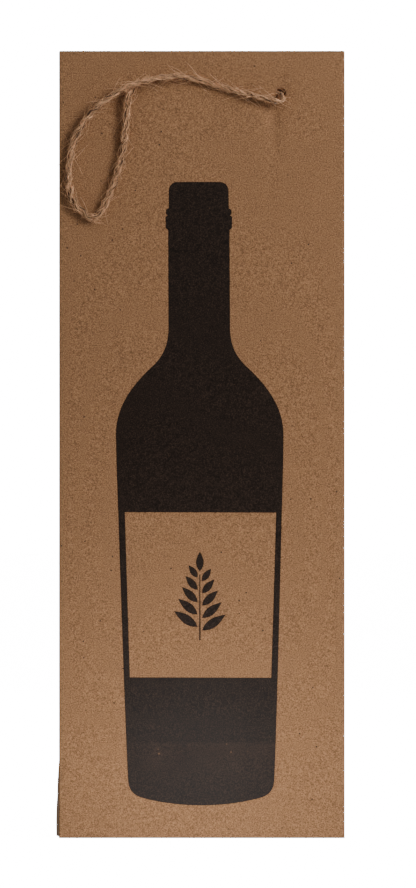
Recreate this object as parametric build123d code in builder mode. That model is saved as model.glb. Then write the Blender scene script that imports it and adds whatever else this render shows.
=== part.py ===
from build123d import *
from math import pi, radians, tan
import os

os.makedirs("parts", exist_ok=True)

# Wine gift bag of folded kraft paper, standing open on its base.
# Origin: centre of the base, on the floor. +Z up, front towards -Y. Millimetres.

# Driving dimensions
bag_width = 130.0
bag_depth = 85.0
bag_height = 358.0
paper = 0.4                    # one ply of heavy kraft
top_card = 0.6                 # reinforcement card under the turned-in hem
base_card = 1.0                # stiff card over the bottom flaps

hem_depth = 40.0               # how far the hem is turned in round the mouth
hem_side_gap = 1.4             # front and back hems stop this far short of the corner creases
top_card_margin = 3.0          # the card stops this far short of the hem, above and below
top_card_side_margin = 6.0     # and this far short of the corner creases
gusset_gap = 2.0               # each gusset half stops this far short of the middle crease
gusset_lift = 3.2              # gusset halves start above the base card, which they swing over
gusset_hem_gap = 3.0           # gusset hems stop this far short of the corner creases
seam_width = 15.0              # glued flap of the side seam
seam_top_gap = 1.0             # it ends this far below the hem
flap_overlap = 14.0            # how far each long bottom flap passes the middle of the base
flap_step_gap = 0.2            # clearance where the front flap steps up over the rear one
flap_step_overlap = 0.8
end_flap_length = 30.0         # short bottom flaps, folded in from the gussets
base_card_margin = 2.0
base_card_corner = 2.0

hole_radius = 2.5
left_hole = (-32.7, 340.0)     # x, z of the punched holes
right_hole = (35.9, 338.8)

cord_radius = 1.6
knot_radius = 4.2
knot_seat = 3.0                # knot centre to the hem that it pulls against
neck_recess = 0.3              # the knot's neck ends this far inside the front face
arc_share = 0.45               # share of the shorter run that each arc of the cord takes up

# Derived places
half_width = bag_width / 2
half_depth = bag_depth / 2
inner_width = half_width - paper
inner_depth = half_depth - paper
panel_height = bag_height - paper
hem_bottom = bag_height - hem_depth
card_face = inner_depth - top_card
hem_face = card_face - paper
neck_end = half_depth - neck_recess


def box_between(low, high):
    """Add a box to the current part, from its lowest corner to its highest."""
    size = [high[i] - low[i] for i in range(3)]
    middle = [(high[i] + low[i]) / 2 for i in range(3)]
    with Locations(tuple(middle)):
        Box(*size)


def punch_holes():
    """Cut both handle holes through the current part, along Y."""
    for hole_x, hole_z in (left_hole, right_hole):
        with Locations((hole_x, 0, hole_z)):
            Cylinder(hole_radius, 2 * bag_depth, rotation=(90, 0, 0), mode=Mode.SUBTRACT)


def write(piece, name):
    """Label the piece and write it to its own STEP file."""
    piece.part.label = name
    export_step(piece.part, f"parts/{name}.step")


# Front and back: panel, reinforcement card and turned-in hem, each punched for the handle
for side_name, side in (("front", -1), ("back", 1)):
    with BuildPart() as panel:
        with BuildSketch(Plane.XZ.offset(-side * half_depth)):
            with Locations((0, (paper + panel_height) / 2)):
                Rectangle(bag_width, panel_height - paper)
        extrude(amount=side * paper)
        punch_holes()
    write(panel, f"{side_name}_panel")

    with BuildPart() as card:
        with BuildSketch(Plane.XZ.offset(-side * inner_depth)):
            with Locations((0, bag_height - hem_depth / 2)):
                Rectangle(bag_width - 2 * top_card_side_margin, hem_depth - 2 * top_card_margin)
        extrude(amount=side * top_card)
        punch_holes()
    write(card, f"{side_name}_top_card")

    with BuildPart() as hem:
        with BuildSketch(Plane.XZ.offset(-side * card_face)):
            with Locations((0, bag_height - hem_depth / 2)):
                Rectangle(bag_width - 2 * hem_side_gap, hem_depth)
        extrude(amount=side * paper)
        with BuildSketch(Plane.XY.offset(panel_height)):
            with Locations((0, side * (half_depth + hem_face) / 2)):
                Rectangle(bag_width - 2 * hem_side_gap, half_depth - hem_face)
        extrude(amount=paper)
        punch_holes()
    write(hem, f"{side_name}_top_hem")

# Side gussets: two halves a side, either side of the middle crease, each with its own hem
for side_name, side in (("left", -1), ("right", 1)):
    for half_name, half in (("front", -1), ("rear", 1)):
        with BuildPart() as gusset:
            with BuildSketch(Plane.XY.offset(gusset_lift)):
                with Locations((side * (half_width - paper / 2), half * (inner_depth + gusset_gap) / 2)):
                    Rectangle(paper, inner_depth - gusset_gap)
            extrude(amount=panel_height - gusset_lift)
        write(gusset, f"{side_name}_{half_name}_gusset")

        hem_start = half_depth - gusset_hem_gap
        with BuildPart() as gusset_hem:
            with BuildSketch(Plane.XY.offset(hem_bottom)):
                with Locations((side * (inner_width - paper / 2), half * (hem_start + gusset_gap) / 2)):
                    Rectangle(paper, hem_start - gusset_gap)
            extrude(amount=hem_depth)
            with BuildSketch(Plane.XY.offset(panel_height)):
                with Locations((side * (half_width - paper), half * (hem_start + gusset_gap) / 2)):
                    Rectangle(2 * paper, hem_start - gusset_gap)
            extrude(amount=paper)
        write(gusset_hem, f"{side_name}_{half_name}_gusset_hem")

# Seam flap: the sheet's last edge, glued inside the back panel beside the left corner
with BuildPart() as seam_flap:
    with BuildSketch(Plane.XY.offset(gusset_lift)):
        with Locations((-half_width + hem_side_gap + seam_width / 2, inner_depth - paper / 2)):
            Rectangle(seam_width, paper)
    extrude(amount=hem_bottom - seam_top_gap - gusset_lift)
write(seam_flap, "seam_flap")

# Bottom flaps: the rear flap is outermost and the front flap steps up over it
with BuildPart() as rear_bottom_flap:
    box_between((-half_width, -flap_overlap, 0), (half_width, half_depth, paper))
write(rear_bottom_flap, "rear_bottom_flap")

with BuildPart() as front_bottom_flap:
    box_between((-half_width, -half_depth, 0), (half_width, -flap_overlap - flap_step_gap, paper))
    step_start = -flap_overlap - flap_step_overlap
    box_between((-inner_width, step_start, paper), (inner_width, flap_overlap, 2 * paper))
write(front_bottom_flap, "front_bottom_flap")

# Short flaps from the gussets, with mitred ends, inside the long ones
for side_name, side in (("left", -1), ("right", 1)):
    outer_x = side * (inner_width - paper)
    inner_x = side * (inner_width - paper - end_flap_length)
    outer_y = inner_depth - paper
    inner_y = outer_y - end_flap_length
    with BuildPart() as end_flap:
        with BuildSketch(Plane.XY.offset(2 * paper)):
            with BuildLine():
                outer_edge = ((outer_x, -outer_y), (outer_x, outer_y))
                inner_edge = ((inner_x, inner_y), (inner_x, -inner_y))
                Polyline(*outer_edge, *inner_edge, close=True)
            make_face()
        extrude(amount=paper)
    write(end_flap, f"{side_name}_bottom_flap")

with BuildPart() as base:
    with BuildSketch(Plane.XY.offset(3 * paper)):
        card_width = bag_width - 2 * base_card_margin
        card_depth = bag_depth - 2 * base_card_margin
        RectangleRounded(card_width, card_depth, base_card_corner)
    extrude(amount=base_card)
write(base, "base_card")

# Handle knots inside the bag, pulled against the front hem, each with the cord's neck through the hole
for side_name, (hole_x, hole_z) in (("left", left_hole), ("right", right_hole)):
    with BuildPart() as knot:
        with Locations((hole_x, -hem_face + knot_seat, hole_z)):
            Sphere(knot_radius)
        split(bisect_by=Plane.XZ.offset(hem_face), keep=Keep.BOTTOM)
        with BuildSketch(Plane.XZ.offset(hem_face)):
            with Locations((hole_x, hole_z)):
                Circle(cord_radius)
        extrude(amount=neck_end - hem_face)
    write(knot, f"front_{side_name}_knot")

# Front handle cord: out of the left hole, down into a loop, back up over itself, along to the right hole
front_cord_route = [
    (-32.7, -neck_end, 340.0),
    (-32.7, -44.8, 340.0),
    (-33.1, -46.9, 338.0),
    (-33.9, -46.9, 333.5),
    (-35.0, -45.8, 325.5),
    (-36.7, -45.3, 312.5),
    (-39.9, -45.2, 299.6),
    (-44.0, -45.3, 286.2),
    (-49.8, -45.4, 282.3),
    (-56.5, -45.5, 283.4),
    (-60.7, -45.6, 288.8),
    (-61.4, -45.5, 299.5),
    (-60.3, -45.6, 312.5),
    (-55.6, -46.6, 323.8),
    (-47.0, -48.4, 332.8),
    (-38.2, -49.4, 339.4),
    (-27.2, -49.0, 344.4),
    (-14.2, -46.6, 346.6),
    (-2.0, -45.5, 344.4),
    (10.6, -45.3, 340.0),
    (21.4, -45.6, 337.5),
    (29.6, -46.5, 335.3),
    (34.4, -47.0, 336.8),
    (35.9, -44.9, 338.8),
    (35.9, -neck_end, 338.8),
]


def corner_radii(route):
    """Arc radius at each corner: as large as its two runs allow."""
    points = [Vector(*point) for point in route]
    radii = []
    for before, corner, after in zip(points, points[1:], points[2:]):
        turn = (corner - before).get_angle(after - corner)
        shorter = min((corner - before).length, (after - corner).length)
        radii.append(arc_share * shorter / tan(radians(turn / 2)))
    return radii


cord_radii = corner_radii(front_cord_route)
with BuildPart() as front_cord:
    with BuildLine() as cord_path:
        FilletPolyline(*front_cord_route, radius=cord_radii)
    with BuildSketch(Plane(origin=cord_path.wires()[0] @ 0, z_dir=cord_path.wires()[0] % 0)):
        Circle(cord_radius)
    sweep()
write(front_cord, "front_handle_cord")

cord_length = cord_path.wires()[0].length
cord_section = pi * cord_radius ** 2
print("cord radii:", [round(radius, 1) for radius in cord_radii])
print("cord length:", round(cord_length, 1))
volume_share = front_cord.part.volume / (cord_section * cord_length)
print("cord volume over section times length:", round(volume_share, 4))
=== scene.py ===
# Wine gift bag: the visual model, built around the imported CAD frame. Metres, +Z up, front towards -Y.
import math
import random
import bpy
import numpy as np
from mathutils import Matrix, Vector
from mathutils.geometry import delaunay_2d_cdt


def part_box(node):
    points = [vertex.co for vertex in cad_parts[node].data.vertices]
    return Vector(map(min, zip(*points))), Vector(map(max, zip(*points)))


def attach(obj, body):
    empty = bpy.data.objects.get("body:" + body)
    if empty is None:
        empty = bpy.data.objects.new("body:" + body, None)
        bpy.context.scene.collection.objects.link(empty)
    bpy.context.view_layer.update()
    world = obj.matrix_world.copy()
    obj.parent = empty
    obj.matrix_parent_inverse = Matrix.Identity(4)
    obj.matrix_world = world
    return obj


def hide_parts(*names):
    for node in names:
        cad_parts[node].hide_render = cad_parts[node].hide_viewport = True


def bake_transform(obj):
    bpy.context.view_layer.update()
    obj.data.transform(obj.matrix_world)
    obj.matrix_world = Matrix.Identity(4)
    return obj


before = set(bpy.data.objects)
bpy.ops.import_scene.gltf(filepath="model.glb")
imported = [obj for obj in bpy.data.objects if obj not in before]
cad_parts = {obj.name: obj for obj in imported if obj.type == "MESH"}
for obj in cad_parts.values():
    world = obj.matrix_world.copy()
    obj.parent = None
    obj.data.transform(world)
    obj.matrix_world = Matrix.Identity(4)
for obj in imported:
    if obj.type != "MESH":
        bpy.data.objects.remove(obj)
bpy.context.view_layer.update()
MM = 0.001

# ------------------------------------------------------------------ sizes, in millimetres, from the frame
body_high = np.array(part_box("back_panel")[1]) / MM
HALF_WIDTH = body_high[0]
HALF_DEPTH = body_high[1]
PAPER = (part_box("front_panel")[1][1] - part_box("front_panel")[0][1]) / MM
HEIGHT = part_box("front_top_hem")[1][2] / MM
HEM_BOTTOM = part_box("front_top_hem")[0][2] / MM
HEM_FACE = -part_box("front_top_hem")[1][1] / MM

# The fold crease round the foot of the bag, half the depth up, as on any bag that folds flat
FOOT_CREASE = HALF_DEPTH
# The print is rubbed paler below the crease, this far down, and for a sliver above it
WORN_BAND = 22.0
WORN_ABOVE = 1.5

# Punched holes, x and z, as in the CAD
LEFT_HOLE = (-32.7, 340.0)
RIGHT_HOLE = (35.9, 338.8)
HOLE_RADIUS = 2.5

# ------------------------------------------------------------------ camera, at the photograph's viewing angle
CAMERA_DISTANCE = 3.0           # metres in front of the front panel
VIEW_HEIGHT = 0.4036            # metres of that panel's plane that fill the picture's height
VIEW_CENTRE = (0.0028, 0.1792)  # the point of that plane, x and z, in the picture's middle
SENSOR = 36.0

camera_data = bpy.data.cameras.new("camera")
camera_data.sensor_fit = "VERTICAL"
camera_data.sensor_height = SENSOR
camera_data.lens = SENSOR * CAMERA_DISTANCE / VIEW_HEIGHT
camera = bpy.data.objects.new("camera", camera_data)
camera.location = (VIEW_CENTRE[0], -HALF_DEPTH * MM - CAMERA_DISTANCE, VIEW_CENTRE[1])
camera.rotation_euler = (math.radians(90), 0, 0)
bpy.context.collection.objects.link(camera)
bpy.context.scene.camera = camera


# ------------------------------------------------------------------ materials
class Shader:
    """A material's node tree, with short calls for the nodes that the materials here share."""

    def __init__(self, name):
        self.material = bpy.data.materials.new(name)
        self.material.use_nodes = True
        self.tree = self.material.node_tree
        self.surface = self.tree.nodes["Principled BSDF"]
        self.place = self.node("ShaderNodeTexCoord").outputs["Object"]

    def node(self, kind, **settings):
        made = self.tree.nodes.new(kind)
        for name, value in settings.items():
            setattr(made, name, value)
        return made

    def link(self, source, target):
        self.tree.links.new(source, target)

    def stretched(self, scale, turn):
        """Object coordinates, turned and scaled: features per metre along each axis."""
        mapping = self.node("ShaderNodeMapping")
        mapping.inputs["Scale"].default_value = scale
        mapping.inputs["Rotation"].default_value = turn
        self.link(self.place, mapping.inputs["Vector"])
        return mapping.outputs["Vector"]

    def noise(self, scale, detail, roughness, vector=None, distortion=0.0):
        made = self.node("ShaderNodeTexNoise")
        made.inputs["Scale"].default_value = scale
        made.inputs["Detail"].default_value = detail
        made.inputs["Roughness"].default_value = roughness
        made.inputs["Distortion"].default_value = distortion
        self.link(vector or self.place, made.inputs["Vector"])
        return made.outputs["Fac"]

    def specks(self, scale, radius, softness=0.5):
        """1 inside small round dots, 0 elsewhere."""
        cells = self.node("ShaderNodeTexVoronoi", feature="F1")
        cells.inputs["Scale"].default_value = scale
        self.link(self.place, cells.inputs["Vector"])
        return self.ramp(cells.outputs["Distance"], radius * softness, radius, 1.0, 0.0)

    def ramp(self, value, low, high, at_low=0.0, at_high=1.0):
        """The value carried from low..high to at_low..at_high, and held at both ends."""
        made = self.node("ShaderNodeMapRange")
        made.inputs["From Min"].default_value = low
        made.inputs["From Max"].default_value = high
        made.inputs["To Min"].default_value = at_low
        made.inputs["To Max"].default_value = at_high
        self.link(value, made.inputs["Value"])
        return made.outputs["Result"]

    def combine(self, operation, first, second):
        """A sum on two values, each a socket or a number."""
        made = self.node("ShaderNodeMath", operation=operation)
        for value, target in zip((first, second), made.inputs):
            if isinstance(value, (int, float)):
                target.default_value = value
            else:
                self.link(value, target)
        return made.outputs["Value"]

    def mix(self, first, second, factor):
        """A colour between two, each a socket or a colour: the first at factor 0, the second at 1."""
        made = self.node("ShaderNodeMix", data_type="RGBA")
        for value, name in ((first, "A"), (second, "B")):
            target = next(i for i in made.inputs if i.name == name and i.type == "RGBA")
            if isinstance(value, tuple):
                target.default_value = (*value, 1.0)
            else:
                self.link(value, target)
        self.link(factor, made.inputs["Factor"])
        return next(o for o in made.outputs if o.type == "RGBA")

    def bump(self, height, strength, distance, under=None):
        made = self.node("ShaderNodeBump")
        made.inputs["Strength"].default_value = strength
        made.inputs["Distance"].default_value = distance
        self.link(height, made.inputs["Height"])
        if under is not None:
            self.link(under, made.inputs["Normal"])
        return made.outputs["Normal"]

    def finish(self, colour, roughness, normal, specular, sheen=0.0):
        self.link(colour, self.surface.inputs["Base Color"])
        if isinstance(roughness, float):
            self.surface.inputs["Roughness"].default_value = roughness
        else:
            self.link(roughness, self.surface.inputs["Roughness"])
        self.link(normal, self.surface.inputs["Normal"])
        self.surface.inputs["Specular IOR Level"].default_value = specular
        self.surface.inputs["Sheen Weight"].default_value = sheen
        return self.material


KRAFT_COLOUR = (0.314, 0.159, 0.074)
INK_COLOUR = (0.0165, 0.0098, 0.0068)
CARD_COLOUR = (0.40, 0.36, 0.31)
JUTE_COLOUR = (0.61, 0.345, 0.186)
# Darkest specks in the kraft, the card and the jute
KRAFT_FLECK = (0.030, 0.020, 0.018)
CARD_FLECK = (0.10, 0.09, 0.09)
JUTE_STAIN = (0.035, 0.032, 0.038)


def tint(colour, factor):
    """The colour made darker or lighter."""
    return tuple(min(1.0, c * factor) for c in colour)


def paper_grain(shader):
    """Mottling, pulp grain and loose fibres shared by bare and printed kraft: (mottle, grain, fibres)."""
    mottle = shader.noise(260, 4, 0.6)
    grain = shader.noise(1900, 3, 0.75)
    strokes = None
    for turn in (0.3, 1.25, 2.3):
        along = shader.stretched((300, 300, 2300), (0, turn, 0))
        stroke = shader.ramp(shader.noise(1.0, 2, 0.5, along, 0.6), 0.66, 0.72)
        strokes = stroke if strokes is None else shader.combine("MAXIMUM", strokes, stroke)
    return mottle, grain, strokes


def kraft_material():
    shader = Shader("kraft_paper")
    mottle, grain, fibres = paper_grain(shader)
    clouds = shader.noise(14, 2, 0.5)
    colour = shader.mix(tint(KRAFT_COLOUR, 0.93), tint(KRAFT_COLOUR, 1.07), shader.ramp(mottle, 0.35, 0.65))
    colour = shader.mix(colour, tint(KRAFT_COLOUR, 1.06), shader.ramp(clouds, 0.35, 0.75, 0.0, 0.25))
    colour = shader.mix(colour, tint(KRAFT_COLOUR, 0.45), shader.ramp(grain, 0.50, 0.36, 0.0, 1.0))
    colour = shader.mix(colour, tint(KRAFT_COLOUR, 1.75), shader.ramp(grain, 0.51, 0.66, 0.0, 0.95))
    colour = shader.mix(colour, tint(KRAFT_COLOUR, 1.5), shader.combine("MULTIPLY", fibres, 0.40))
    flecks = shader.specks(190, 0.085, 0.6)
    chosen = shader.ramp(shader.noise(140, 1, 0.5), 0.50, 0.54)
    colour = shader.mix(colour, KRAFT_FLECK, shader.combine("MULTIPLY", flecks, chosen))
    dust = shader.specks(330, 0.07, 0.4)
    colour = shader.mix(colour, tint(KRAFT_COLOUR, 0.45), shader.combine("MULTIPLY", dust, 0.75))
    normal = shader.bump(grain, 0.30, 0.00015)
    normal = shader.bump(fibres, 0.15, 0.00010, normal)
    return shader.finish(colour, shader.ramp(mottle, 0.3, 0.7, 0.80, 0.92), normal, 0.25, 0.03)


def ink_material():
    """Dark print soaked into the kraft: the paper's grain shows through as faint specks."""
    shader = Shader("printed_ink")
    mottle, grain, fibres = paper_grain(shader)
    colour = shader.mix(tint(INK_COLOUR, 0.80), tint(INK_COLOUR, 1.25), shader.ramp(mottle, 0.3, 0.7))
    height = shader.node("ShaderNodeSeparateXYZ")
    shader.link(shader.place, height.inputs["Vector"])
    below = shader.ramp(height.outputs["Z"], (FOOT_CREASE - WORN_BAND) * MM, FOOT_CREASE * MM)
    above = shader.ramp(height.outputs["Z"], FOOT_CREASE * MM, (FOOT_CREASE + WORN_ABOVE) * MM, 1.0, 0.0)
    worn = shader.combine("MULTIPLY", below, above)
    patchy = shader.combine("MULTIPLY", worn, shader.ramp(shader.noise(60, 3, 0.6), 0.35, 0.60, 0.3, 1.0))
    colour = shader.mix(colour, tint(INK_COLOUR, 2.3), shader.combine("MULTIPLY", patchy, 0.85))
    colour = shader.mix(colour, tint(INK_COLOUR, 4.0), shader.ramp(grain, 0.50, 0.70, 0.0, 0.85))
    colour = shader.mix(colour, tint(INK_COLOUR, 0.25), shader.ramp(grain, 0.50, 0.34, 0.0, 0.85))
    pinholes = shader.specks(420, 0.10, 0.3)
    thin = shader.ramp(shader.noise(300, 1, 0.5), 0.56, 0.62)
    colour = shader.mix(colour, tint(KRAFT_COLOUR, 0.35), shader.combine("MULTIPLY", pinholes, thin))
    cracks = shader.combine("MULTIPLY", shader.specks(300, 0.16, 0.4), shader.ramp(patchy, 0.55, 0.9))
    colour = shader.mix(colour, tint(KRAFT_COLOUR, 0.7), cracks)
    colour = shader.mix(colour, tint(INK_COLOUR, 3.2), shader.combine("MULTIPLY", fibres, 0.35))
    normal = shader.bump(grain, 0.35, 0.00012)
    return shader.finish(colour, shader.ramp(grain, 0.3, 0.7, 0.42, 0.56), normal, 0.13)


def card_material():
    shader = Shader("grey_card")
    mottle, grain, fibres = paper_grain(shader)
    colour = shader.mix(tint(CARD_COLOUR, 0.86), tint(CARD_COLOUR, 1.1), shader.ramp(mottle, 0.3, 0.7))
    colour = shader.mix(colour, tint(CARD_COLOUR, 0.6), shader.ramp(grain, 0.50, 0.30, 0.0, 0.6))
    colour = shader.mix(colour, CARD_FLECK, shader.combine("MULTIPLY", shader.specks(260, 0.09), 0.7))
    colour = shader.mix(colour, tint(CARD_COLOUR, 1.3), shader.combine("MULTIPLY", fibres, 0.3))
    return shader.finish(colour, 0.92, shader.bump(grain, 0.25, 0.00015), 0.2)


def jute_material(name, colour_factor):
    shader = Shader(name)
    jute = tint(JUTE_COLOUR, colour_factor)
    streaks = shader.noise(900, 4, 0.7)
    patches = shader.noise(160, 3, 0.6)
    colour = shader.mix(tint(jute, 0.62), tint(jute, 1.30), shader.ramp(streaks, 0.32, 0.60))
    colour = shader.mix(colour, tint(jute, 0.75), shader.ramp(patches, 0.50, 0.32, 0.0, 0.5))
    stains = shader.ramp(shader.noise(420, 2, 0.5), 0.70, 0.76)
    where = shader.ramp(shader.noise(75, 1, 0.5), 0.50, 0.56)
    colour = shader.mix(colour, JUTE_STAIN, shader.combine("MULTIPLY", stains, where))
    return shader.finish(colour, 0.80, shader.bump(streaks, 0.3, 0.00010), 0.25, 0.05)


kraft = kraft_material()
ink = ink_material()
grey_card = card_material()
jute_tones = [
    jute_material("jute_pale", 1.26),
    jute_material("jute_middle", 0.90),
    # darkest tone: a few yarns at random, and every ply's core, where it is painted shade in the gaps between
    # the yarns
    jute_material("jute_dark_and_gap_shade", 0.22),
]
jute_hair = jute_material("jute_hair", 1.26)


# ------------------------------------------------------------------ outlines on the flat sheet, in mm
PRINT_STEP = 2.0                # longest run in a printed outline
HOLE_CORNERS = 28
WINDOW_SHIFT = -0.6             # the label window's middle, a little left of the bag's


def arc(centre, radius, start, end, count):
    """Points on an arc, angles in degrees."""
    angles = np.radians(np.linspace(start, end, count + 1))
    return [(centre[0] + radius * math.cos(a), centre[1] + radius * math.sin(a)) for a in angles]


def bezier(p0, p1, p2, p3, count):
    """Points on a cubic curve between p0 and p3."""
    points = []
    for t in np.linspace(0, 1, count + 1):
        u = 1 - t
        weights = (u ** 3, 3 * u * u * t, 3 * u * t * t, t ** 3)
        points.append(tuple(sum(w * p[i] for w, p in zip(weights, (p0, p1, p2, p3))) for i in (0, 1)))
    return points


def print_lean(z):
    """How far right of the middle the print stands at height z: it leans a little to the left."""
    return -0.2 - 0.0042 * z


def bottle_outline():
    """The printed bottle's right half from its foot to its cap, then mirrored and leaned."""
    half = bezier((0, 14.9), (11, 15.0), (21, 16.6), (27.6, 18.6), 8)
    half += bezier((27.6, 18.6), (31.0, 19.8), (33.0, 22.2), (33.2, 26.0), 6)[1:]
    half += [(33.7, 36.2), (34.4, 55.4), (34.8, 67.4), (35.5, 90.1), (37.2, 148.3), (37.9, 170.0)]
    half += bezier((38.1, 183.6), (38.1, 194.4), (32.4, 204.6), (20.9, 214.9), 14)
    half += bezier((20.9, 214.9), (16.4, 219.4), (14.1, 224.2), (14.0, 232.0), 10)[1:]
    half += [(13.95, 276.4)]
    half += [(15.1, 277.4), (15.15, 282.4), (14.2, 283.1), (14.9, 283.6), (14.9, 285.6), (13.65, 286.4)]
    half += [(13.6, 294.4)] + arc((9.7, 294.4), 3.9, 0, 90, 6)[1:]
    outline = half + [(-x, z) for x, z in reversed(half[1:])]
    return [(x + print_lean(z), z) for x, z in outline]


def finely(outline):
    """The same closed outline with its long runs divided, so that it follows the creases and the swell."""
    points = []
    for (x0, z0), (x1, z1) in zip(outline, outline[1:] + outline[:1]):
        count = max(1, math.ceil(math.hypot(x1 - x0, z1 - z0) / PRINT_STEP))
        points += [(x0 + (x1 - x0) * i / count, z0 + (z1 - z0) * i / count) for i in range(count)]
    return points


def label_window():
    """The bare kraft window in the bottle, a little wider at its top."""
    corners = [(-34.35, 148.2), (-32.1, 73.2), (32.1, 73.0), (34.35, 148.0)]
    return [(x + WINDOW_SHIFT, z) for x, z in corners]


def leaf(root, angle, length, width):
    """A pointed leaf from its root, as a closed outline."""
    points = []
    for t in np.linspace(0, 1, 9):
        points.append((t * length, width / 2 * math.sin(math.pi * t ** 0.85)))
    points += [(x, -y) for x, y in reversed(points[1:-1])]
    c, s = math.cos(math.radians(angle)), math.sin(math.radians(angle))
    return [(root[0] + x * c - y * s, root[1] + x * s + y * c) for x, y in points]


def sprig_outlines():
    """A plain leafy sprig for the label: separate leaves beside a thin stem."""
    stem_x, foot, top = -0.9, 90.0, 130.0
    stem_width = 0.7
    shapes = [[(stem_x - stem_width / 2, foot), (stem_x + stem_width / 2, foot),
               (stem_x + stem_width / 3, top - 10), (stem_x - stem_width / 3, top - 10)]]
    for number in range(5):
        z = foot + 4.5 + 5.6 * number
        length = 13.0 - 1.5 * number
        for side in (1, -1):
            angle = 90 - side * (56 - 5 * number)
            root = (stem_x + side, z + (0.0 if side > 0 else 1.6))
            shapes.append(leaf(root, angle, length, 4.2 - 0.3 * number))
    shapes.append(leaf((stem_x, top - 8.6), 90, 9.0, 3.6))
    return shapes


def hole_outline(centre):
    return arc(centre, HOLE_RADIUS, 0, 360, HOLE_CORNERS)[:-1]


PUNCHED = [hole_outline(LEFT_HOLE), hole_outline(RIGHT_HOLE)]

# ------------------------------------------------------------------ folded sheets
EDGE_CLEARANCE = 0.05           # grid points keep this far from the sheet's edge
LOOP_CLEARANCE = 0.55           # and this far from a hole or a print's edge
SHARP_ANGLE = math.radians(50)  # sheet edges turning more than this are shaded sharp
NORMAL_STEP = 0.02              # half the distance over which a folded sheet's slope is taken


def inside(points, polygon):
    """Which points lie inside the closed polygon."""
    x, y = points[:, 0], points[:, 1]
    hit = np.zeros(len(points), bool)
    for (x0, y0), (x1, y1) in zip(polygon, polygon[1:] + polygon[:1]):
        if y0 == y1:
            continue
        crosses = (y0 > y) != (y1 > y)
        hit ^= crosses & (x < (x1 - x0) * (y - y0) / (y1 - y0) + x0)
    return hit


def distance_to(points, polygons):
    """Least distance from each point to the edges of the polygons."""
    best = np.full(len(points), np.inf)
    for polygon in polygons:
        for a, b in zip(polygon, polygon[1:] + polygon[:1]):
            a, b = np.array(a), np.array(b)
            along = np.clip(((points - a) @ (b - a)) / max(1e-12, (b - a) @ (b - a)), 0, 1)
            best = np.minimum(best, np.linalg.norm(points - (a + along[:, None] * (b - a)), axis=1))
    return best


def crossings(lines, start, end):
    """The grid lines that cross an edge from start to end, in that order, clear of its ends."""
    low, high = min(start, end) + EDGE_CLEARANCE, max(start, end) - EDGE_CLEARANCE
    return sorted((line for line in lines if low < line < high), reverse=bool(end < start))


def flat_mesh(outline, holes, prints, columns, rows):
    """Triangulate the flat sheet: points, triangles, and which triangles are printed.
    columns and rows are the grid; the outline, holes and prints are followed exactly."""
    grid = np.array([(x, y) for x in columns for y in rows])
    keep = inside(grid, outline) & (distance_to(grid, [outline]) > EDGE_CLEARANCE)
    keep &= distance_to(grid, holes + prints) > LOOP_CLEARANCE
    for hole in holes:
        keep &= ~inside(grid, hole)
    edge_points = []
    for a, b in zip(outline, outline[1:] + outline[:1]):
        edge_points.append(a)
        if a[0] == b[0]:
            edge_points += [(a[0], y) for y in crossings(rows, a[1], b[1])]
        elif a[1] == b[1]:
            edge_points += [(x, a[1]) for x in crossings(columns, a[0], b[0])]
    loops = [edge_points] + holes + prints
    points, edges = [], []
    for loop in loops:
        start = len(points)
        points += [Vector(p) for p in loop]
        edges += [(start + i, start + (i + 1) % len(loop)) for i in range(len(loop))]
    points += [Vector(p) for p in grid[keep]]
    found = delaunay_2d_cdt(points, edges, [], 0, 1e-5)
    flat = np.array([tuple(p) for p in found[0]])
    triangles = np.array(found[2])
    middles = flat[triangles].mean(axis=1)
    good = inside(middles, outline)
    for hole in holes:
        good &= ~inside(middles, hole)
    triangles, middles = triangles[good], middles[good]
    printed = np.zeros(len(triangles), bool)
    for shape in prints:
        printed ^= inside(middles, shape)
    a, b, c = flat[triangles[:, 0]], flat[triangles[:, 1]], flat[triangles[:, 2]]
    clockwise = np.cross(b - a, c - a) < 0
    triangles[clockwise] = triangles[clockwise][:, ::-1]
    return flat, triangles, printed


def folded_sheet(name, flat, triangles, printed, place, thickness, materials, flip=False):
    """A closed sheet of the given thickness about the surface that place(p, s) folds the flat mesh to."""
    p, s = flat[:, 0], flat[:, 1]
    middle = place(p, s)
    across = place(p + NORMAL_STEP, s) - place(p - NORMAL_STEP, s)
    along = place(p, s + NORMAL_STEP) - place(p, s - NORMAL_STEP)
    normal = np.cross(across, along)
    normal /= np.linalg.norm(normal, axis=1)[:, None]
    if flip:
        normal = -normal
        triangles = triangles[:, ::-1]
    outer = middle + normal * thickness / 2
    inner = middle - normal * thickness / 2
    count = len(flat)
    # the sheet's open edges are those that only one triangle has, in that triangle's direction
    edges = {}
    for triangle in triangles:
        for i in range(3):
            a, b = int(triangle[i]), int(triangle[(i + 1) % 3])
            if (b, a) in edges:
                del edges[(b, a)]
            else:
                edges[(a, b)] = True
    faces = [tuple(int(i) for i in t) for t in triangles]
    faces += [tuple(int(i) + count for i in t[::-1]) for t in triangles]
    faces += [(b, a, a + count, b + count) for a, b in edges]
    # only the points that a face uses are kept
    used = np.zeros(2 * count, bool)
    used[[i for face in faces for i in face]] = True
    renumber = np.cumsum(used) - 1
    faces = [tuple(int(renumber[i]) for i in face) for face in faces]
    vertices = np.vstack([outer, inner])[used] * MM
    mesh = bpy.data.meshes.new(name)
    mesh.from_pydata(vertices.tolist(), [], faces)
    slots = [1 if p else 0 for p in printed] + [0] * (len(faces) - len(printed))
    for material in materials:
        mesh.materials.append(material)
    mesh.polygons.foreach_set("material_index", slots)
    mesh.update()
    mesh.shade_smooth()
    mesh.set_sharp_from_angle(angle=SHARP_ANGLE)
    piece = bpy.data.objects.new(name, mesh)
    bpy.context.collection.objects.link(piece)
    return piece


def spaced(start, end, step):
    """Even grid lines from start to end, about a step apart."""
    count = max(1, round((end - start) / step))
    return list(np.linspace(start, end, count + 1))


def smooth(t):
    """A soft ramp: 0 up to t = 0, 1 from t = 1."""
    t = np.clip(t, 0, 1)
    return t * t * (3 - 2 * t)


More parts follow.
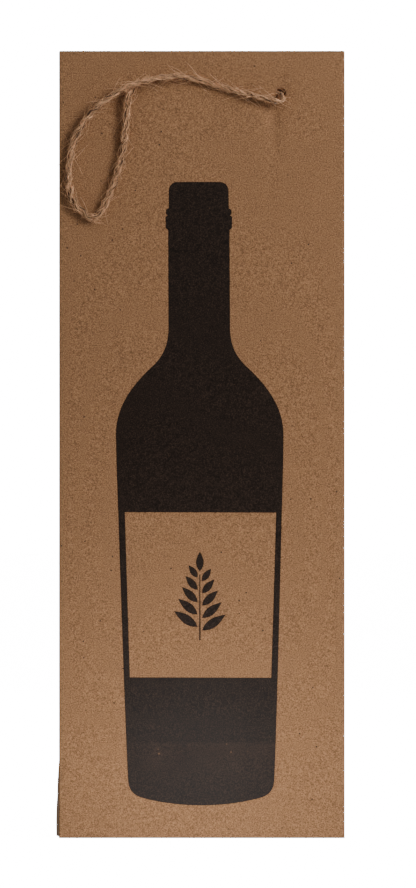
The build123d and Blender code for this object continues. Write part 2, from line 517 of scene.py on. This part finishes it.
# The mouth fold: the outer ply, over a half-round fold, and down inside as the hem
HEM_GAP = HALF_DEPTH - PAPER / 2 - (HEM_FACE + PAPER / 2)
FOLD_RADIUS = HEM_GAP / 2
FOLD_START = HEIGHT - PAPER / 2 - FOLD_RADIUS
FOLD_END = FOLD_START + math.pi * FOLD_RADIUS


def over_the_mouth(s):
    """For distance s up the sheet: how far it has come inwards, and its height."""
    angle = np.clip((s - FOLD_START) / FOLD_RADIUS, 0, math.pi)
    inwards = FOLD_RADIUS * (1 - np.cos(angle))
    height = np.where(s < FOLD_START, s, FOLD_START + FOLD_RADIUS * np.sin(angle))
    return inwards, np.where(s > FOLD_END, FOLD_START - (s - FOLD_END), height)


def hem_reach(z):
    """The distance up the sheet that comes to height z on the turned-in hem."""
    return FOLD_END + (FOLD_START - z)


HEM_END = hem_reach(HEM_BOTTOM)
NARROWING = FOLD_START + 0.3    # a sheet narrows from here, so that its hem clears the next sheet's
WALL_HEM_GAP = 0.4              # the front and back hems stop this far short of the corner's bend
GUSSET_HEM_GAP = 1.2            # and the gussets' hems this far from the corner crease

# Grid steps
FOLD_STEP = 0.2                 # round the mouth fold and the corners
ROW_STEP = 2.5
WALL_COLUMN_STEP = 1.6
GUSSET_COLUMN_STEP = 2.4
GUSSET_FOOT_STEP = 1.6
LINER_STEP = 3.0

CARD_CLEARANCE = 0.1            # the top cards are this much thinner than in the CAD

# The corner bend between a wall and a gusset
CORNER_RADIUS = 0.6
CORNER_START = HALF_WIDTH - PAPER / 2 - CORNER_RADIUS
CORNER_END = CORNER_START + math.pi / 2 * CORNER_RADIUS

# How a wall stands off from flat
WALL_SLACK = 1.0
WALL_RIPPLE = 0.16
CREASE_DEPTH = 0.85
CREASE_FADE_ABOVE = 9.0
CREASE_FADE_BELOW = 16.0
HEM_STEP = 0.16                 # the wall stands out this much more over the doubled hem
STRAIGHT_FOOT = 14.0            # it comes straight at the floor, over this height
HOLE_PULL = 1.1                 # the cord pulls the paper in round each hole
HOLE_PULL_SIZE = (4.8, 6.5)
TROUGH_DEPTHS = ((LEFT_HOLE, 0.45), (RIGHT_HOLE, 4.0))
TROUGH_SHIFT = 3.4              # the dent below a hole lies this far left of it
TROUGH_WIDTH = 2.8
TROUGH_START = 6.0              # it deepens over this distance, then fades over the next
TROUGH_FADE = 11.0


def panel_swell(x, z, side):
    """How far the panel stands outwards from flat: slack, crease lines and pulled-in holes."""
    across = 1 - (np.abs(x) / HALF_WIDTH) ** 4
    slack = WALL_SLACK * np.sin(math.pi * z / HEIGHT) * across * (1 + 0.5 * np.sin(0.021 * z + 1.3 * side))
    ripple = WALL_RIPPLE * np.sin(0.071 * x + 0.023 * z + side) * np.sin(0.034 * z + 0.8) * across
    fade = np.where(z > FOOT_CREASE, CREASE_FADE_ABOVE, CREASE_FADE_BELOW)
    crease = -CREASE_DEPTH * np.exp(-np.abs(z - FOOT_CREASE) / fade)
    dent = 0
    for (hole_x, hole_z), depth in TROUGH_DEPTHS:
        reach = np.hypot((x - hole_x) / HOLE_PULL_SIZE[0], (z - hole_z) / HOLE_PULL_SIZE[1])
        dent = dent - HOLE_PULL * np.exp(-reach ** 2)
        across_dent = np.exp(-((x - hole_x + TROUGH_SHIFT) / TROUGH_WIDTH) ** 2)
        down = smooth((hole_z - z) / TROUGH_START) * np.exp(-np.abs(hole_z - z) / TROUGH_FADE)
        dent = dent - depth * across_dent * down
    hem_step = HEM_STEP * smooth((z - HEM_BOTTOM + 1.0) / 2.0) * across
    return (slack + ripple + crease * across + dent + hem_step) * smooth(z / STRAIGHT_FOOT)


def wall_place(side):
    """Fold map of the front (side -1) or back (side +1) sheet. p runs along X, s up and over the mouth."""

    def place(p, s):
        turn = np.clip((np.abs(p) - CORNER_START) / CORNER_RADIUS, 0, math.pi / 2)
        beyond = np.maximum(np.abs(p) - CORNER_END, 0)
        x = np.sign(p) * (np.minimum(np.abs(p), CORNER_START) + CORNER_RADIUS * np.sin(turn))
        inset = CORNER_RADIUS * (1 - np.cos(turn)) + beyond
        inwards, z = over_the_mouth(s)
        depth = HALF_DEPTH - PAPER / 2 - inset + panel_swell(x, z, side)
        depth = depth - inwards * np.cos(turn)
        x = x - np.sign(p) * inwards * np.sin(turn)
        return np.column_stack([x, side * depth, z])

    return place


def sheet_rows(foot_step):
    """Grid rows from the floor, up over the mouth and down to the hem's edge."""
    rows = spaced(PAPER, FOOT_CREASE, foot_step) + spaced(FOOT_CREASE, FOLD_START, ROW_STEP)[1:]
    return rows + spaced(FOLD_START, FOLD_END, FOLD_STEP)[1:] + spaced(FOLD_END, HEM_END, ROW_STEP)[1:]


def wall(name, side, prints, materials):
    """The front or back sheet, with its corners bent towards the gussets and its hem turned in."""
    hem_half = CORNER_START - WALL_HEM_GAP
    right_edge = [(CORNER_END, PAPER), (CORNER_END, NARROWING), (hem_half, FOLD_END), (hem_half, HEM_END)]
    outline = [(-CORNER_END, PAPER)] + right_edge + [(-x, s) for x, s in reversed(right_edge[1:])]
    corner = spaced(CORNER_START, CORNER_END, FOLD_STEP)
    columns = [-c for c in reversed(corner)]
    columns += spaced(-CORNER_START, CORNER_START, WALL_COLUMN_STEP)[1:-1] + corner
    holes = PUNCHED + [[(x, hem_reach(z)) for x, z in hole] for hole in PUNCHED]
    flat, triangles, printed = flat_mesh(outline, holes, prints, columns, sheet_rows(ROW_STEP))
    return folded_sheet(name, flat, triangles, printed, wall_place(side), PAPER, materials, flip=side > 0)


# Each gusset is two sheets that meet at the middle crease, where the rear one laps behind the front one.
# The front one stops short of the middle, so that they have room to slide when the mouth is squeezed.
GUSSET_WIDTH = HALF_DEPTH - PAPER / 2 - CORNER_RADIUS
SEAM_BACK = 1.3                 # how far short, low on the bag
SEAM_SHIFT = 1.9                # how much further it reaches high on the bag
SEAM_SHIFT_START = 140          # the heights between which that grows
SEAM_SHIFT_END = 300
SEAM_SHIFT_STEP = 20
MOUTH_GAP = 0.2                 # gap between the two over the mouth fold, where the rear one doesn't lap
MOUTH_NOTCH = 0.5               # how far beyond the fold that gap starts and ends
MIDDLE_LAP = 3.4                # how far the rear one passes the front one's low edge
LAP_SINK = 0.5                  # how far it sinks in to pass behind
LAP_SINK_START = 0.1            # from this far before the middle, and over this width
LAP_SINK_WIDTH = 1.2
SEAM_COARSE_END = 1.8           # grid columns are wide up to this far before the front one's low edge,
SEAM_FINE_FROM = 2.0            # close from this far before the middle
SEAM_FINE_TO = 1.1              # to this far after it,
SEAM_FINE_STEP = 0.3
LAP_COLUMNS_FROM = 2.0          # and wider again from this far after it
LAP_COLUMN_STEP = 0.9

# How a gusset sinks in from flat
MIDDLE_SINK = 2.4
GUSSET_SLACK = 0.21
SLANT_SINK = 0.8
LEVEL_SINK = 0.6
LEFT_FOOT_BULGE = 1.7           # the left gusset swells out past the left edge near the floor
LEFT_FOOT_HEIGHT = 7
LEFT_FOOT_SIZE = 24


def seam_shift(z):
    """How much further the front half reaches, towards the mouth, so that the folded halves still meet."""
    return SEAM_SHIFT * smooth((z - SEAM_SHIFT_START) / (SEAM_SHIFT_END - SEAM_SHIFT_START))


def gusset_place(side, half):
    """Fold map of half a gusset. p runs from the corner crease to the middle one, s up and over the mouth."""

    def place(p, s):
        inwards, z = over_the_mouth(s)
        # 0 at the corner crease, highest at the middle crease, and lower again in the lap beyond it
        reach = np.clip((GUSSET_WIDTH - np.abs(GUSSET_WIDTH - p)) / HALF_DEPTH, 0, 1)
        # memory of the middle crease, deeper towards the mouth
        sink = MIDDLE_SINK * reach ** 1.5 * smooth((z - 20) / 150) * (0.75 + 0.25 * np.sin(0.012 * z))
        slack = GUSSET_SLACK * np.sin(math.pi * reach) * smooth(z / 30)
        slack = slack * np.sin(0.028 * z + side + 0.5 * half)
        # the slanting creases at the foot, and the level one above them
        slant = SLANT_SINK * np.exp(-np.abs(z - p) / 3.5) * smooth(z / 6) * (z < FOOT_CREASE + 3)
        level = LEVEL_SINK * np.exp(-np.abs(z - FOOT_CREASE) / 6.0)
        x = HALF_WIDTH - PAPER / 2 - sink - slack - (slant + level) * smooth(reach * 8)
        if half > 0:
            flat_ply = (s < FOLD_START) | (s > FOLD_END)
            lapped = p - GUSSET_WIDTH + LAP_SINK_START + seam_shift(z)
            x = x - LAP_SINK * smooth(lapped / LAP_SINK_WIDTH) * flat_ply
        if side < 0:
            bulge = LEFT_FOOT_BULGE * np.exp(-((z - LEFT_FOOT_HEIGHT) / LEFT_FOOT_SIZE) ** 2)
            x = x + bulge * smooth(reach * 2.5)
        y = HALF_DEPTH - PAPER / 2 - CORNER_RADIUS - p
        return np.column_stack([side * (x - inwards), half * y, z])

    return place


def middle_edge(half):
    """The gusset half's outline along the middle crease, from the floor to the hem's edge."""
    high_reach = SEAM_SHIFT - SEAM_BACK
    if half > 0:
        width = GUSSET_WIDTH + SEAM_BACK + MIDDLE_LAP
        mouth_width = GUSSET_WIDTH - high_reach - MOUTH_GAP
        low, high = FOLD_START - MOUTH_NOTCH, FOLD_END + MOUTH_NOTCH
        notch = [(width, low), (mouth_width, low), (mouth_width, high), (width, high)]
        return [(width, PAPER)] + notch + [(width, HEM_END)]
    width = GUSSET_WIDTH - SEAM_BACK
    heights = range(SEAM_SHIFT_START, SEAM_SHIFT_END + 1, SEAM_SHIFT_STEP)
    widening = [(width + float(seam_shift(z)), z) for z in heights]
    return [(width, PAPER)] + widening + [(GUSSET_WIDTH + high_reach, HEM_END)]


def gusset(side_name, side, half_name, half):
    """One half of a gusset, folded from the flat sheet and set in place of the CAD's gusset half and its hem.
    """
    outline = [(0.0, PAPER)] + middle_edge(half)
    outline += [(GUSSET_HEM_GAP, HEM_END), (GUSSET_HEM_GAP, FOLD_END), (0.0, NARROWING)]
    columns = spaced(0, GUSSET_WIDTH - SEAM_BACK - SEAM_COARSE_END, GUSSET_COLUMN_STEP)
    columns += spaced(GUSSET_WIDTH - SEAM_FINE_FROM, GUSSET_WIDTH + SEAM_FINE_TO, SEAM_FINE_STEP)
    lap_end = GUSSET_WIDTH + SEAM_BACK + MIDDLE_LAP
    columns += spaced(GUSSET_WIDTH + LAP_COLUMNS_FROM, lap_end, LAP_COLUMN_STEP)[:-1]
    flat, triangles, printed = flat_mesh(outline, [], [], columns, sheet_rows(GUSSET_FOOT_STEP))
    body = f"{side_name}_{half_name}_gusset"
    piece = folded_sheet(f"{body}_sheet", flat, triangles, printed, gusset_place(side, half), PAPER, [kraft],
                         flip=side * half > 0)
    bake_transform(piece)
    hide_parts(body, body + "_hem")


def liner(name, side, low, high, holes, inner_face, thickness, material):
    """A flat strip lying against the inside of the front or back sheet, following its swell."""
    columns = spaced(low[0], high[0], LINER_STEP)
    rows = spaced(low[1], high[1], LINER_STEP)
    outline = [(low[0], low[1]), (high[0], low[1]), (high[0], high[1]), (low[0], high[1])]
    flat, triangles, printed = flat_mesh(outline, holes, [], columns, rows)

    def place(p, s):
        depth = inner_face - thickness / 2 + panel_swell(p, s, side)
        return np.column_stack([p, side * depth, s])

    return folded_sheet(name, flat, triangles, printed, place, thickness, [material], flip=side > 0)


# ------------------------------------------------------------------ twisted jute cord
CORD_DIAMETER = 0.0032
POINT_SPACING = 0.0005

# The twine: plies twisted round each other, each a core with yarns twisted round it; the core is coloured in
# the darkest jute tone, as painted shade in the gaps between the yarns
PLIES = 2
PLY_PITCH = 0.0105
PLY_RADIUS = 0.25 * CORD_DIAMETER
CORE_SHARE = 0.50               # the core's radius, as a share of its ply's
CORE_CORNERS = 6
YARNS = 9
YARN_PITCH = 0.0085
YARN_CORNERS = 5
PALE, MIDDLE, DARK_AND_GAP_SHADE = range(3)   # places in jute_tones
YARN_TONES = (PALE, PALE, PALE, MIDDLE, MIDDLE, DARK_AND_GAP_SHADE)

HAIR_COUNT = 1000
HAIRS_STANDING = 0.26           # share of the fibres that stand off the twine
HAIR_MARGINS = (6, 14)          # points of the cord's line, at its start and end, that fibres keep off
HAIR_ROOT = 0.40 * CORD_DIAMETER
HAIR_CURL = 0.35
HAIR_SHORTEST_STEP = 1e-5
HAIR_REACH = 0.0075             # furthest that one gets from the cord's middle
HAIR_PANEL_GAP = 0.0007         # fibres stay this far in front of the flat panel
HAIR_POINTS = 7
HAIR_CORNERS = 3

KNOT_SIZE = 0.0030
KNOT_INSET = 0.0044             # the loop's middle, in front of the CAD knot's innermost point
KNOT_SHIFT = (-0.2, -0.7)       # the cord hangs on the lower edge of its hole, in millimetres
KNOT_SPACING = 0.0004
KNOT_TWINE = 0.85               # the twine's thickness in a knot, 1 at its nominal diameter
NECK_DEPTHS = (-0.0421, -0.0400)    # y of the two ends of the neck's straight part, in the hole

# The handle cord's route, near the CAD's: out of the left hole, down round the loop and back over itself,
# along the arch, and hooked up into the right hole
front_cord_route = [
    (-0.0329, -0.0422, 0.3393), (-0.0329, -0.0448, 0.3393), (-0.0332, -0.0468, 0.3374),
    (-0.0336, -0.0469, 0.3335), (-0.0343, -0.0458, 0.3255), (-0.0357, -0.0453, 0.3125),
    (-0.0392, -0.0452, 0.2996), (-0.0438, -0.0453, 0.2878), (-0.0490, -0.0454, 0.2806),
    (-0.0548, -0.0455, 0.2850), (-0.0594, -0.0456, 0.2906), (-0.0609, -0.0455, 0.2995),
    (-0.0596, -0.0456, 0.3125), (-0.0552, -0.0466, 0.3242), (-0.0464, -0.0484, 0.3336),
    (-0.0372, -0.0492, 0.3397), (-0.0270, -0.0488, 0.3438), (-0.0142, -0.0466, 0.3463),
    (-0.0018, -0.0455, 0.3448), (0.0106, -0.0453, 0.3410), (0.0214, -0.0456, 0.3376),
    (0.0292, -0.0463, 0.3360), (0.0342, -0.0468, 0.3347), (0.0367, -0.0470, 0.3350),
    (0.0370, -0.0464, 0.3368), (0.0358, -0.0449, 0.3377), (0.0357, -0.0422, 0.3377),
]


def spline_points(route):
    """Evenly spaced points along the smooth line that the route's points control."""
    data = bpy.data.curves.new("route", "CURVE")
    data.dimensions = "3D"
    spline = data.splines.new("NURBS")
    spline.points.add(len(route) - 1)
    for point, place in zip(spline.points, route):
        point.co = (*place, 1.0)
    spline.order_u = 3
    spline.use_endpoint_u = True
    data.resolution_u = 16
    carrier = bpy.data.objects.new("route", data)
    bpy.context.collection.objects.link(carrier)
    bpy.context.view_layer.update()
    line = bpy.data.meshes.new_from_object(carrier)
    points = np.array([tuple(v.co) for v in line.vertices])
    bpy.data.objects.remove(carrier)
    bpy.data.curves.remove(data)
    bpy.data.meshes.remove(line)
    return resample(points, POINT_SPACING)


def resample(points, spacing):
    """Evenly spaced points along the line through these ones."""
    steps = np.linalg.norm(np.diff(points, axis=0), axis=1)
    along = np.concatenate([[0], np.cumsum(steps)])
    at = np.linspace(0, along[-1], max(2, round(along[-1] / spacing) + 1))
    return np.column_stack([np.interp(at, along, points[:, i]) for i in range(3)])


def carried_frames(points):
    """Tangents and two steady side directions along the line."""
    tangents = np.gradient(points, axis=0)
    tangents /= np.linalg.norm(tangents, axis=1)[:, None]
    side = np.array([0.31, 0.17, 0.93])     # any direction that the line doesn't start along
    side = side - tangents[0] * (side @ tangents[0])
    sides = []
    for tangent in tangents:
        side = side - tangent * (side @ tangent)
        side = side / np.linalg.norm(side)
        sides.append(side)
    sides = np.array(sides)
    return tangents, sides, np.cross(tangents, sides)


def tube(vertices, faces, line, radii, corners):
    """Add a closed tube along the line to the lists of vertices and faces."""
    start = len(vertices)
    _, side, other = carried_frames(line)
    for point, a, b, radius in zip(line, side, other, radii):
        for k in range(corners):
            angle = 2 * math.pi * k / corners
            vertices.append(tuple(point + radius * (math.cos(angle) * a + math.sin(angle) * b)))
    for i in range(len(line) - 1):
        for k in range(corners):
            here, ahead = start + i * corners, start + (i + 1) * corners
            following = (k + 1) % corners
            faces.append((here + k, here + following, ahead + following, ahead + k))
    faces.append(tuple(start + k for k in reversed(range(corners))))
    last = start + (len(line) - 1) * corners
    faces.append(tuple(last + k for k in range(corners)))


def mesh_piece(name, vertices, faces, materials, slots=None):
    mesh = bpy.data.meshes.new(name)
    mesh.from_pydata(vertices, [], faces)
    for material in materials:
        mesh.materials.append(material)
    if slots:
        mesh.polygons.foreach_set("material_index", slots)
    mesh.shade_smooth()
    piece = bpy.data.objects.new(name, mesh)
    bpy.context.collection.objects.link(piece)
    return piece


def wavering(along, chance, waves):
    """A smooth wandering value along the cord: (height, radians per metre) waves with random phases."""
    return sum(height * np.sin(along * rate + chance.uniform(0, 6.28)) for height, rate in waves)


def twine(name, points, loose, seed):
    """Twisted twine along the points: two plies, each a loose bundle of yarns turning the other way.
    loose gives the twine's thickness along its length, 1 at its nominal diameter."""
    chance = random.Random(seed)
    tangents, side, other = carried_frames(points)
    along = np.concatenate([[0], np.cumsum(np.linalg.norm(np.diff(points, axis=0), axis=1))])
    vertices, faces, slots = [], [], []
    for ply in range(PLIES):
        turn = 2 * math.pi * (along / PLY_PITCH + ply / PLIES)
        turn = turn + wavering(along, chance, ((0.3, 310), (0.2, 530)))
        out = np.cos(turn)[:, None] * side + np.sin(turn)[:, None] * other
        swell = loose * (1 + wavering(along, chance, ((0.10, 240), (0.07, 620))))
        axis = points + out * (PLY_RADIUS * swell)[:, None]
        across = np.cross(tangents, out)
        tube(vertices, faces, axis, PLY_RADIUS * CORE_SHARE * swell, CORE_CORNERS)
        # the core takes the darkest tone: painted shade showing through the gaps between the yarns
        slots += [DARK_AND_GAP_SHADE] * (len(faces) - len(slots))
        for yarn in range(YARNS):
            swing = wavering(along, chance, ((0.35, 650), (0.25, 1400)))
            spin = -2 * math.pi * along / YARN_PITCH + 2 * math.pi * yarn / YARNS + swing
            layer = chance.uniform(0.62, 1.05) + wavering(along, chance, ((0.16, 420), (0.12, 1100)))
            reach = PLY_RADIUS * swell * layer
            line = axis + reach[:, None] * (np.cos(spin)[:, None] * out + np.sin(spin)[:, None] * across)
            thick = PLY_RADIUS * chance.uniform(0.20, 0.32) * (1 + wavering(along, chance, ((0.25, 900),)))
            tube(vertices, faces, line, thick, YARN_CORNERS)
            slots += [chance.choice(YARN_TONES)] * (len(faces) - len(slots))
    return mesh_piece(name, vertices, faces, jute_tones, slots)


def hairs(name, points, loose, seed):
    """Loose fibres: most lie along the twine, some stand off it."""
    chance = random.Random(seed)
    tangents, side, other = carried_frames(points)
    vertices, faces = [], []
    for number in range(HAIR_COUNT):
        start = chance.randrange(HAIR_MARGINS[0], len(points) - HAIR_MARGINS[1])
        angle = chance.uniform(0, 2 * math.pi)
        out = math.cos(angle) * side[start] + math.sin(angle) * other[start]
        across = np.cross(tangents[start], out)
        standing = number < HAIRS_STANDING * HAIR_COUNT
        length = chance.uniform(0.0030, 0.0110) if standing else chance.uniform(0.0025, 0.0060)
        direction = chance.choice((-1, 1))
        root = points[start] + out * HAIR_ROOT * loose[start]
        lift = chance.uniform(0.35, 1.0) if standing else chance.uniform(0.02, 0.16)
        heading = tangents[start] * direction + out * lift + across * chance.uniform(-0.5, 0.5)
        heading /= np.linalg.norm(heading)
        curl = across * chance.uniform(-1, 1) - out * chance.uniform(0.1, 0.9)
        line = []
        for t in np.linspace(0, 1, HAIR_POINTS):
            point = root + heading * length * t + curl * length * HAIR_CURL * t * t
            near = points[start] + tangents[start] * ((point - points[start]) @ tangents[start])
            away = point - near
            far = np.linalg.norm(away)
            if far > HAIR_REACH:
                point = near + away * (HAIR_REACH / far)
            point[1] = min(point[1], -HALF_DEPTH * MM - HAIR_PANEL_GAP)
            line.append(point)
        line = np.array(line)
        # a fibre that is held so close that two of its points meet is left out
        if np.min(np.linalg.norm(np.diff(line, axis=0), axis=1)) < HAIR_SHORTEST_STEP:
            continue
        thick = chance.uniform(0.00007, 0.00013)
        tube(vertices, faces, line, np.linspace(thick, thick * 0.4, HAIR_POINTS), HAIR_CORNERS)
    return mesh_piece(name, vertices, faces, [jute_hair])


def knot_points(centre):
    """An overhand knot's closed-up loop about centre, as points along the cord."""
    turn = np.linspace(0.25, 2 * math.pi - 0.05, 120)
    x = np.sin(turn) + 2 * np.sin(2 * turn)
    z = np.cos(turn) - 2 * np.cos(2 * turn)
    y = -np.sin(3 * turn)
    return np.array(centre) + np.column_stack([x, y * 1.1, z]) * KNOT_SIZE / 3


# ------------------------------------------------------------------ build the pieces
prints = [finely(outline) for outline in [bottle_outline(), label_window()] + sprig_outlines()]
front = wall("front_wall", -1, prints, [kraft, ink])
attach(front, "front")
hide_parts("front_panel", "front_top_hem")

back = wall("back_wall", 1, [], [kraft])
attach(back, "back")
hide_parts("back_panel", "back_top_hem")

for side_name, side in (("left", -1), ("right", 1)):
    for half_name, half, panel in (("front", -1, "front"), ("rear", 1, "back")):
        gusset(side_name, side, half_name, half)

for side_name, side in (("front", -1), ("back", 1)):
    low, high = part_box(f"{side_name}_top_card")
    face = max(abs(low[1]), abs(high[1])) / MM
    thick = (high[1] - low[1]) / MM - CARD_CLEARANCE
    card = liner(f"{side_name}_card", side, (low[0] / MM, low[2] / MM), (high[0] / MM, high[2] / MM),
                 PUNCHED, face, thick, grey_card)
    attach(card, side_name)
    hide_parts(f"{side_name}_top_card")

low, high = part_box("seam_flap")
seam = liner("seam_strip", 1, (low[0] / MM, low[2] / MM), (high[0] / MM, high[2] / MM), [],
             high[1] / MM, PAPER, kraft)
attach(seam, "back")
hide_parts("seam_flap")

# The flaps and the base card are the CAD's own shapes
for node, material in (("rear_bottom_flap", kraft), ("front_bottom_flap", kraft), ("left_bottom_flap", kraft),
                       ("right_bottom_flap", kraft), ("base_card", grey_card)):
    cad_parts[node].data.materials.clear()
    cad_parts[node].data.materials.append(material)

# The handle cord, its loose fibres and its knots
line = spline_points(front_cord_route)
share = np.linspace(0, 1, len(line))
# the twine is thicker in the loop than along the arch
looseness = 0.76 + 0.26 * (1 - smooth((share - 0.46) / 0.16)) + 0.04 * np.sin(share * 70)
cord = twine("handle_cord", line, looseness, 3)
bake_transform(cord)
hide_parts("front_handle_cord")

fibres = hairs("handle_cord_fibres", line, looseness, 11)
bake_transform(fibres)

knots = []
for side_name, (hole_x, hole_z) in (("left", LEFT_HOLE), ("right", RIGHT_HOLE)):
    node = f"front_{side_name}_knot"
    inner_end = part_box(node)[1][1]
    neck_x, neck_z = (hole_x + KNOT_SHIFT[0]) * MM, (hole_z + KNOT_SHIFT[1]) * MM
    path = resample(knot_points((neck_x, inner_end - KNOT_INSET, neck_z)), KNOT_SPACING)
    neck = np.array([(neck_x, depth, neck_z) for depth in NECK_DEPTHS] + [tuple(path[0])])
    path = np.vstack([resample(neck, KNOT_SPACING)[:-1], path])
    knot = twine(f"{side_name}_knot", path, np.full(len(path), KNOT_TWINE), 20 + len(knots))
    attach(knot, "front")
    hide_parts(node)
    knots.append(knot)

# ------------------------------------------------------------------ floor and light
BACKGROUND = 18.0
AMBIENT = 0.22
FLOOR_GLOW = 0.88               # the floor's own glow, as a share of the background's
FLOOR_HALF = 8.0
FLOOR_DROP = 0.0002             # the floor lies just under the bag


def plain_stage():
    """A pale floor that glows, so that it meets the white background."""
    shader = Shader("pale_floor")
    shader.surface.inputs["Base Color"].default_value = (0.92, 0.92, 0.92, 1)
    shader.surface.inputs["Roughness"].default_value = 0.9
    shader.surface.inputs["Specular IOR Level"].default_value = 0.0
    shader.surface.inputs["Emission Color"].default_value = (1, 1, 1, 1)
    shader.surface.inputs["Emission Strength"].default_value = BACKGROUND * FLOOR_GLOW
    mesh = bpy.data.meshes.new("floor")
    corners = [(x * FLOOR_HALF, y * FLOOR_HALF, 0) for x, y in ((-1, -1), (1, -1), (1, 1), (-1, 1))]
    mesh.from_pydata(corners, [], [(0, 1, 2, 3)])
    mesh.materials.append(shader.material)
    floor = bpy.data.objects.new("floor", mesh)
    floor.location.z = -FLOOR_DROP
    floor.visible_diffuse = False
    floor.visible_glossy = False
    bpy.context.collection.objects.link(floor)


def studio_world():
    """A white background, and a dim even light from all round."""
    world = bpy.data.worlds.new("studio")
    world.use_nodes = True
    tree = world.node_tree
    background = tree.nodes["Background"]
    background.inputs["Color"].default_value = (1, 1, 1, 1)
    path = tree.nodes.new("ShaderNodeLightPath")
    strength = tree.nodes.new("ShaderNodeMapRange")
    strength.inputs["To Min"].default_value = AMBIENT
    strength.inputs["To Max"].default_value = BACKGROUND
    tree.links.new(path.outputs["Is Camera Ray"], strength.inputs["Value"])
    tree.links.new(strength.outputs["Result"], background.inputs["Strength"])
    bpy.context.scene.world = world


def area_light(name, place, target, size, power):
    data = bpy.data.lights.new(name, "AREA")
    data.shape = "DISK"
    data.size = size
    data.energy = power
    lamp = bpy.data.objects.new(name, data)
    lamp.location = place
    lamp.visible_camera = False
    lamp.rotation_euler = (Vector(target) - Vector(place)).to_track_quat("-Z", "Y").to_euler()
    bpy.context.collection.objects.link(lamp)


plain_stage()
studio_world()
area_light("key", (0.60, -0.70, 0.62), (0, 0, 0.22), 0.40, 6.6)
area_light("low_front", (0, -0.195, 0.012), (0, 0, 0.012), 0.10, 0.23)
area_light("left_fill", (-1.3, -0.8, 0.5), (0, 0, 0.15), 0.9, 0.5)
area_light("top", (0.1, 0.5, 1.6), (0, 0, 0.2), 0.9, 8.0)
area_light("back_fill", (-0.5, 1.5, 0.7), (0, 0, 0.15), 0.9, 9.0)
